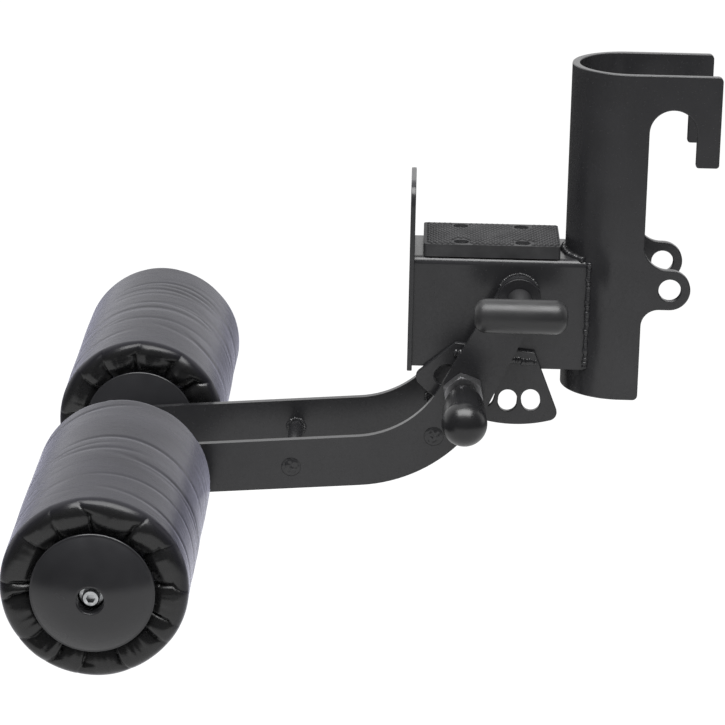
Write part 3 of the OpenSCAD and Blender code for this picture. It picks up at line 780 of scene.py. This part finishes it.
def makeWrinkles(rng, values):
    count, half, span = values["wrinkles"], rollerEnd["length"] / 2, values["wrinkleSpan"]
    return [{
        "place": half * (2 * span * (i + rng.uniform(0, 1)) / count - span),
        "turn": rng.uniform(0, 2 * math.pi),
        "reach": rng.uniform(*values["wrinkleReach"]),
        "bow": rng.uniform(-1, 1) * values["wrinkleBow"],
        "width": rng.uniform(*values["wrinkleWidth"]),
        "depth": rng.uniform(*values["wrinkleDepth"]),
    } for i in range(count)]


def wrinkleDrop(wrinkles, turn, place):
    drop = 0
    for wrinkle in wrinkles:
        along = (turn - wrinkle["turn"] + math.pi) % (2 * math.pi) - math.pi
        along /= wrinkle["reach"]
        if abs(along) < 1:
            across = place - wrinkle["place"] - wrinkle["bow"] * along * along
            across /= wrinkle["width"]
            if abs(across) < 3:
                drop += wrinkle["depth"] * math.exp(-across * across) * (1 - along * along)
    return drop


def pleatDrop(pleats, turn, share):
    # how far the skin falls between two bulges, with share 0 on the barrel and 1 under the cap
    if share <= 0:
        return 0
    places = [(pleat["turn"] + pleat["lean"] * (1 - share)) % (2 * math.pi) for pleat in pleats]
    order = sorted(range(len(pleats)), key=places.__getitem__)
    turn %= 2 * math.pi
    after = next((k for k, index in enumerate(order) if places[index] > turn), 0)
    low, high = order[after - 1], order[after]
    width = (places[high] - places[low]) % (2 * math.pi)
    pleat = pleats[low]
    t = (((turn - places[low]) % (2 * math.pi)) / max(width, 1e-6)) ** pleat["skew"]
    bulge = (4 * t * (1 - t)) ** 0.5
    return pleat["depth"] * (1 - bulge) * min(1, share ** pleat["reach"])


def makeCover(end, side, values):
    rng = random.Random(values["seed"][end])
    rings = coverRings(values)
    pleatSets = {-1: makePleats(rng, values), 1: makePleats(rng, values)}
    wrinkles = makeWrinkles(rng, values)
    middleY = side * (rollerEnd["inner"] + rollerEnd["length"] / 2)
    middle = Vector((axlePlace.x, middleY, axlePlace.z))
    around, gatherFrom = values["around"], values["gatherFrom"]
    seedShift = Vector((7.3, 2.1, 5.7)) * side

    def noiseRound(count, cosine, sine, height, way=1):
        return noise.noise(Vector((count * cosine, count * sine, height)) + seedShift * way)

    verts, wraps, shares = [], [], []
    travel = 0
    last = rings[0]
    for ring in rings:
        radius, place, (slopeR, slopeU), share = ring
        travel += math.hypot(radius - last[0], place - last[1])
        last = ring
        for turn in turnsOf(around):
            cosine, sine = math.cos(turn), math.sin(turn)
            out = 0
            if slopeR or slopeU:
                lump = noiseRound(values["lumpCount"], cosine, sine, place / values["lumpLength"])
                swell = noiseRound(values["billowCount"], cosine, sine, 4.0, -1)
                out += values["lumpDepth"] * lump + values["billow"] * swell * share
                if share < gatherFrom:
                    out -= wrinkleDrop(wrinkles, turn, place) * (1 - share / gatherFrom)
                out -= pleatDrop(pleatSets[1 if place > 0 else -1], turn, share)
                if share > gatherFrom:
                    gather = noiseRound(values["gatherCount"], cosine, sine, 1.5 * share)
                    low = 0.45 + 0.75 * max(0, -sine)  # the underside gathers more
                    depth = values["gatherDepth"] * (share - gatherFrom) * 1.4
                    out -= depth * (0.4 + gather) * low
            ringRadius = radius + slopeR * out
            y = side * (place + slopeU * out)
            verts.append(middle + Vector((ringRadius * cosine, y, ringRadius * sine)))
            wraps += [
                values["wrapTurn"] * cosine, values["wrapTurn"] * sine, travel / values["wrapLength"],
            ]
            # painted shade: this share turns the colour to the darker gathered-shade black and lowers
            # the sheen, rising faster than the end gathers themselves
            shares.append(min(1, values["shadeAndGlossRise"] * share))
    faces = []
    for k in range(len(rings)):
        low, high = k * around, ((k + 1) % len(rings)) * around
        for i in range(around):
            j = (i + 1) % around
            corners = (low + i, low + j, high + j, high + i)
            faces.append(corners if side > 0 else corners[::-1])
    mesh = bpy.data.meshes.new("cover")
    mesh.from_pydata([tuple(v) for v in verts], [], faces)
    mesh.attributes.new("wrap", "FLOAT_VECTOR", "POINT").data.foreach_set("vector", wraps)
    mesh.attributes.new("gatheredShade", "FLOAT", "POINT").data.foreach_set("value", shares)
    shape = bmesh.new()
    shape.from_mesh(mesh)
    bmesh.ops.recalc_face_normals(shape, faces=shape.faces)
    shape.to_mesh(mesh)
    shape.free()
    nodes = [f"cover_{end}", f"foam_{end}"]
    cover = placePiece(f"rollerCover_{end}", mesh, "leatherette", f"roller_{end}", nodes, None)


for end, side in ends:
    makeCover(end, side, rollerCover)
print("covers made")


# Geometry Nodes trees

def startTree(name, inputs):
    tree = bpy.data.node_groups.new(name, "GeometryNodeTree")
    tree.is_modifier = True
    for label, kind in {"Geometry": "Geometry", **inputs}.items():
        tree.interface.new_socket(name=label, in_out="INPUT", socket_type="NodeSocket" + kind)
    tree.interface.new_socket(name="Geometry", in_out="OUTPUT", socket_type="NodeSocketGeometry")
    return tree, addNode(tree, "NodeGroupInput").outputs


def endTree(tree, placed, finishName):
    real = addNode(tree, "GeometryNodeRealizeInstances", {"Geometry": placed})
    coated = addNode(tree, "GeometryNodeSetMaterial", {
        "Geometry": real, "Material": finish[finishName],
    })
    tree.links.new(coated.outputs[0], addNode(tree, "NodeGroupOutput").inputs[0])
    return tree


def grownMesh(tree, data, inputs):
    maker = addObject("maker", data)
    modifier = maker.modifiers.new("nodes", "NODES")
    modifier.node_group = tree
    for item in tree.interface.items_tree:
        if item.item_type == "SOCKET" and item.in_out == "INPUT" and item.name in inputs:
            modifier[item.identifier] = inputs[item.name]
    return resultOf(maker)


# Weld seams: overlapping ripples along a path, grown together

weldSeam = {
    "ripple": 1.7 * mm,
    "uneven": (0.72, 1.25),
    "flat": 0.62,
    "skin": 0.34 * mm,
    "seed": 4,
    "wander": 0.9 * mm,
    "wanderLength": 6 * mm,
}


def weldTree(values):
    tree, given = startTree("weldSeam", {
        "Bead Radius": "Float", "Ripple Spacing": "Float", "Seed": "Int",
    })
    points = addNode(tree, "GeometryNodeResampleCurve", {
        "Curve": given["Geometry"], "Length": given["Ripple Spacing"],
    }, mode="LENGTH")
    turned = addNode(tree, "FunctionNodeAlignRotationToVector", {
        "Vector": addNode(tree, "GeometryNodeInputTangent"),
    }, axis="Z")
    ripple = addNode(tree, "GeometryNodeMeshIcoSphere", {"Radius": 1.0, "Subdivisions": 3})
    low, high = values["uneven"]
    size = addNode(tree, "FunctionNodeRandomValue", {2: low, 3: high, "Seed": given["Seed"]})
    radius = product(tree, size.outputs[1], given["Bead Radius"])
    flat = product(tree, radius, values["flat"])
    scale = addNode(tree, "ShaderNodeCombineXYZ", {0: radius, 1: radius, 2: flat})
    placed = addNode(tree, "GeometryNodeInstanceOnPoints", {
        "Points": points, "Instance": ripple, "Rotation": turned, "Scale": scale,
    })
    return endTree(tree, placed, "powderCoat")


seamTree = weldTree(weldSeam)


def makeWeld(name, body, radius, paths, closed=False):
    curve = bpy.data.curves.new(name, "CURVE")
    curve.dimensions = "3D"
    for path in paths:
        spline = curve.splines.new("POLY")
        spline.points.add(len(path) - 1)
        for point, place in zip(spline.points, path):
            point.co = (*place, 1)
        spline.use_cyclic_u = closed
    beads = grownMesh(seamTree, curve, {
        "Bead Radius": radius, "Ripple Spacing": weldSeam["ripple"], "Seed": weldSeam["seed"],
    })
    skin = bakedMesh(
        beads,
        ("REMESH", {"mode": "VOXEL", "voxel_size": weldSeam["skin"], "use_smooth_shade": True}),
        ("SMOOTH", {"factor": 0.5, "iterations": 2}),
    )
    placePiece(name, skin, "powderCoat", body, sharpAngle=None)


def straight(a, b, count, wander=0):
    a, b = Vector(a), Vector(b)
    return [
        place + noise.noise_vector(place / weldSeam["wanderLength"]) * wander
        for place in (a.lerp(b, i / count) for i in range(count + 1))
    ]


def circleOf(centre, radius, along, count=48):
    across = squareTo(along)
    other = along.cross(across)
    return [
        Vector(centre) + (across * math.cos(turn) + other * math.sin(turn)) * radius
        for turn in turnsOf(count)
    ]


boxLow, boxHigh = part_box("box_channel")
boxSide = boxHigh.y


def uprightSeams(x, y, values, count, wander=0):
    # a seam up each side of the box
    low, high = boxLow.z + values["fromBottom"], boxHigh.z - values["fromTop"]
    return [straight((x, side * y, low), (x, side * y, high), count, wander) for side in (-1, 1)]


sleeveWeld = {
    "radius": 2.4 * mm, "ahead": 1.2 * mm, "aside": 0.8 * mm, "fromBottom": 3 * mm,
    "fromTop": 2 * mm, "topInset": 3 * mm, "topOut": 1 * mm, "topRaise": 0.4 * mm,
}


def makeSleeveWeld(values):
    sleeveLow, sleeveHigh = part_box("rack_sleeve")
    radius = sleeveHigh.y
    noseX = sleeveLow.x + radius
    cornerX = noseX - math.sqrt(radius ** 2 - boxSide ** 2)
    seams = uprightSeams(
        cornerX + values["ahead"], boxSide + values["aside"], values, 40, weldSeam["wander"]
    )
    topTurn = math.asin((boxSide - values["topInset"]) / radius)
    out, z = radius + values["topOut"], boxHigh.z + values["topRaise"]
    seams.append([
        (noseX - out * math.cos(turn), out * math.sin(turn), z)
        for turn in (-topTurn + 2 * topTurn * i / 30 for i in range(31))
    ])
    makeWeld("sleeveWeld", "bracket", values["radius"], seams)


stopWeld = {
    "radius": 2.0 * mm, "ahead": 0.5 * mm, "inset": 5.2 * mm,
    "fromBottom": 3 * mm, "fromTop": 8 * mm,
}


def makeStopWeld(values):
    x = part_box("stop_plate")[1].x + values["ahead"]
    seams = uprightSeams(x, boxSide - values["inset"], values, 30)
    makeWeld("stopWeld", "bracket", values["radius"], seams)


sectorWeld = {
    "radius": 3.6 * mm, "slope": 6, "drop": 47 * mm, "raise": -8.6 * mm,
    "from": -49.0 * mm, "to": 15.0 * mm, "ahead": 2.2 * mm, "wander": 1.4,
}


def makeSectorWeld(values):
    slope = math.radians(values["slope"])
    drop = values["drop"] / math.cos(slope) - values["raise"]
    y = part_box("sector_plate")[0].y + values["ahead"]
    seamEnds = [
        (pivotPlace.x + x, y, pivotPlace.z - drop - math.tan(slope) * x)
        for x in (values["from"], values["to"])
    ]
    seam = straight(*seamEnds, 40, values["wander"] * weldSeam["wander"])
    makeWeld("sectorWeld", "bracket", values["radius"], [seam])


tubeWeld = {"radius": 1.6 * mm, "out": 0.4 * mm, "proud": 0.5 * mm}


def makeTubeWeld(values):
    low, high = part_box("pivot_tube")
    radius = (high.x - low.x) / 2 + values["out"]
    makeWeld("tubeWeld", "bracket", values["radius"], [
        circleOf((pivotPlace.x, side * (boxSide + values["proud"]), pivotPlace.z), radius, axisY)
        for side in (-1, 1)
    ], closed=True)


rodWeld = {"radius": 2.0 * mm, "out": 0.6 * mm, "sunk": 0.5 * mm}
rodRadius = 6 * mm
rodLow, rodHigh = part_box("cross_rods")
rodPlaces = [
    (rodLow.x + rodRadius, rodLow.z + rodRadius), (rodHigh.x - rodRadius, rodHigh.z - rodRadius),
]
armInner, armOuter = (corner.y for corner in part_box("arm_plate_back"))


def makeRodWeld(values):
    makeWeld("rodWeld", "arm", values["radius"], [
        circleOf((x, side * (armInner - values["sunk"]), z), rodRadius + values["out"], axisY)
        for side in (-1, 1) for x, z in rodPlaces
    ], closed=True)


noise.seed_set(weldSeam["seed"])  # noise_vector follows the clock without it
makeSleeveWeld(sleeveWeld)
makeStopWeld(stopWeld)
makeSectorWeld(sectorWeld)
makeTubeWeld(tubeWeld)
makeRodWeld(rodWeld)

# Plug welds: the rods' ends, melted into shallow hollows in the arms

plugWeld = {
    "radius": 8.0 * mm,
    "share": 0.98,
    "proud": 0.25 * mm,
    "sunk": 0.30 * mm,
    "depth": 2.0 * mm,
    "uneven": 0.45 * mm,
    "rings": 12,
    "around": 40,
}


def makePlugWelds(values):
    shape = bmesh.new()
    proud, around = values["proud"], values["around"]
    for side in (-1, 1):
        for index, (x, z) in enumerate(rodPlaces):
            rings = []
            for k in range(values["rings"] + 1):
                t = k / values["rings"]
                radius = values["radius"] * values["share"] * t
                ring = []
                for turn in turnsOf(around)[:around if k else 1]:
                    cosine, sine = math.cos(turn), math.sin(turn)
                    wave = noise.noise(Vector((3 * cosine * t, 3 * sine * t, index * 5 + side)))
                    ripple = 0.25 * math.cos(9 * t + turn)
                    y = armOuter + proud - (proud + values["sunk"]) * t ** 3
                    y += (wave + ripple) * values["uneven"] * (1 - t ** 6)
                    ring.append(shape.verts.new((x + radius * cosine, side * y, z + radius * sine)))
                rings.append(ring)
            base = shape.verts.new((x, side * (armOuter - values["depth"]), z))
            for low, high in zip(rings, rings[1:]):
                for i in range(around):
                    j = (i + 1) % around
                    corners = (low[i % len(low)], low[j % len(low)], high[j], high[i])
                    shape.faces.new(list(dict.fromkeys(corners)))
            for i in range(around):
                shape.faces.new((rings[-1][i], rings[-1][(i + 1) % around], base))
    bmesh.ops.recalc_face_normals(shape, faces=shape.faces)
    placePiece("plugWelds", meshFrom(shape, "plugWeld"), "powderCoat", "arm", sharpAngle=50)


makePlugWelds(plugWeld)
print("welds made")

# Tread of the rubber pad: low diamonds in staggered rows, clear of the four dishes

padTread = {
    "pitch": (4.3 * mm, 7.0 * mm),
    "size": (3.9 * mm, 6.3 * mm),
    "uneven": (0.93, 1.05),
    "topShare": 0.28,
    "height": 0.75 * mm,
    "lift": 0.45,
    "border": 2.4 * mm,
    "clear": 8.6 * mm,
    "screwRadius": 5.6 * mm,
    "seed": 3,
}


def treadTree(values):
    tree, given = startTree("padTread", {
        "Stud Width": "Float", "Stud Length": "Float", "Stud Height": "Float", "Seed": "Int",
    })
    stud = addNode(tree, "GeometryNodeMeshCone", {
        "Vertices": 4, "Side Segments": 2, "Radius Top": values["topShare"],
        "Radius Bottom": 0.5, "Depth": 1.0,
    }, fill_type="NGON")
    low, high = values["uneven"]
    size = addNode(tree, "FunctionNodeRandomValue", {2: low, 3: high, "Seed": given["Seed"]})
    width = product(tree, size.outputs[1], given["Stud Width"])
    scale = addNode(tree, "ShaderNodeCombineXYZ", {
        0: width, 1: given["Stud Length"], 2: given["Stud Height"],
    })
    placed = addNode(tree, "GeometryNodeInstanceOnPoints", {
        "Points": given["Geometry"], "Instance": stud, "Scale": scale,
    })
    return endTree(tree, placed, "rubber")


def makeTread(values):
    low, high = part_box("step_pad")
    screwLow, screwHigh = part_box("pad_screws")
    reach, border = values["screwRadius"], values["border"]
    dishes = [
        (x, y) for x in (screwLow.x + reach, screwHigh.x - reach)
        for y in (screwLow.y + reach, screwHigh.y - reach)
    ]
    pitchX, pitchY = values["pitch"]
    columns = int((high.x - low.x) / pitchX)
    rows = int((high.y - low.y) / pitchY * 2)
    z = high.z + values["height"] * values["lift"]
    spots = []
    for row in range(rows + 1):
        for column in range(columns + 1):
            x = low.x + pitchX * (column + 0.5 * (row % 2))
            y = low.y + pitchY * row / 2
            inside = low.x + border < x < high.x - border
            inside = inside and low.y + border < y < high.y - border
            if inside and all(math.hypot(x - a, y - b) > values["clear"] for a, b in dishes):
                spots.append((x, y, z))
    mesh = bpy.data.meshes.new("spots")
    mesh.from_pydata(spots, [], [])
    studs = grownMesh(treadTree(values), mesh, {
        "Stud Width": values["size"][0], "Stud Length": values["size"][1],
        "Stud Height": values["height"], "Seed": values["seed"],
    })
    placePiece("padTread", studs, "rubber", "bracket", sharpAngle=25)


makeTread(padTread)
print("pad tread made")

# Floor, backdrop and light

studio = {
    "floorDrop": 0.30,
    "floorSize": 14,
    "floorColour": (0.86, 0.86, 0.86),
    "floorGlow": 1.13,
    "floorGlowShare": 0.86,
    # painted light: the mirrored floor's glow near and far, over this reach round this middle
    "floorNear": 0.95,
    "floorFar": 0.08,
    "floorReach": (1.0, 2.5),
    "floorMiddle": (-0.1, -0.8),
    "ambient": 0.40,
    "backdrop": 1.0,
    "dark": 0.07,
    "backdropFrom": (-0.05, 0.45),
    "lampPower": 46,
    "lampSize": (1.8, 1.0),
    "lampPlace": (-0.2, -0.5, 1.45),
}


def openTree(owner):
    # an empty tree, with the kinds of ray, and which rays see the set as it stands
    owner.use_nodes = True
    tree = owner.node_tree
    tree.nodes.clear()
    rays = addNode(tree, "ShaderNodeLightPath").outputs
    seen = addNode(tree, "ShaderNodeMath", {
        0: rays["Is Camera Ray"], 1: rays["Is Transmission Ray"],
    }, operation="MAXIMUM")
    return tree, rays, seen


def fade(tree, value, start, end, low, high):
    return addNode(tree, "ShaderNodeMapRange", {
        "Value": value, "From Min": start, "From Max": end, "To Min": low, "To Max": high,
    }, interpolation_type="SMOOTHSTEP").outputs[0]


def mixed(tree, factor, first, second):
    return addNode(tree, "ShaderNodeMixShader", {0: factor, 1: first, 2: second})


def makeFloor(values):
    half, z = values["floorSize"] / 2, cadBox[0][2] - values["floorDrop"]
    mesh = bpy.data.meshes.new("floor")
    corners = [(-half, -half, z), (half, -half, z), (half, half, z), (-half, half, z)]
    mesh.from_pydata(corners, [], [(0, 1, 2, 3)])
    material = bpy.data.materials.new("floorPale")
    tree, rays, seen = openTree(material)

    def glow(strength):
        return addNode(tree, "ShaderNodeEmission", {"Color": (1, 1, 1, 1), "Strength": strength})

    matt = addNode(tree, "ShaderNodeBsdfDiffuse", {"Color": (*values["floorColour"], 1)})
    share = product(tree, seen, values["floorGlowShare"])
    pale = mixed(tree, share, matt, glow(values["floorGlow"]))
    # painted light: mirrored in the paint, the floor is a glow rather than a lit surface, painted
    # brighter near the middle and darker with its distance like a pool of lamp light
    reach = addNode(tree, "ShaderNodeVectorMath", {
        0: addNode(tree, "ShaderNodeTexCoord").outputs["Object"],
        1: (*values["floorMiddle"], z),
    }, operation="DISTANCE").outputs["Value"]
    lit = fade(tree, reach, *values["floorReach"], values["floorNear"], values["floorFar"])
    whole = mixed(tree, rays["Is Glossy Ray"], pale, glow(lit))
    addNode(tree, "ShaderNodeOutputMaterial", {"Surface": whole})
    mesh.materials.append(material)
    addObject("floor", mesh)


def makeBackdrop(values):
    world = bpy.data.worlds.new("studio")
    bpy.context.scene.world = world
    tree, rays, seen = openTree(world)

    def sky(strength):
        return addNode(tree, "ShaderNodeBackground", {"Color": (1, 1, 1, 1), "Strength": strength})

    # the pieces mirror a bright backdrop behind them and a dark room in front
    place = addNode(tree, "ShaderNodeTexCoord").outputs["Generated"]
    split = addNode(tree, "ShaderNodeSeparateXYZ", {0: place}).outputs[1]
    fromBack = fade(tree, split, *values["backdropFrom"], values["dark"], values["backdrop"])
    lit = mixed(tree, rays["Is Glossy Ray"], sky(values["ambient"]), sky(fromBack))
    addNode(tree, "ShaderNodeOutputWorld", {"Surface": mixed(tree, seen, lit, sky(1.0))})


def makeLamp(values):
    lamp = bpy.data.lights.new("softbox", "AREA")
    lamp.shape = "RECTANGLE"
    lamp.size, lamp.size_y = values["lampSize"]
    lamp.energy = values["lampPower"]
    addObject("softbox", lamp).location = values["lampPlace"]


makeFloor(studio)
makeBackdrop(studio)
makeLamp(studio)
print("studio set")
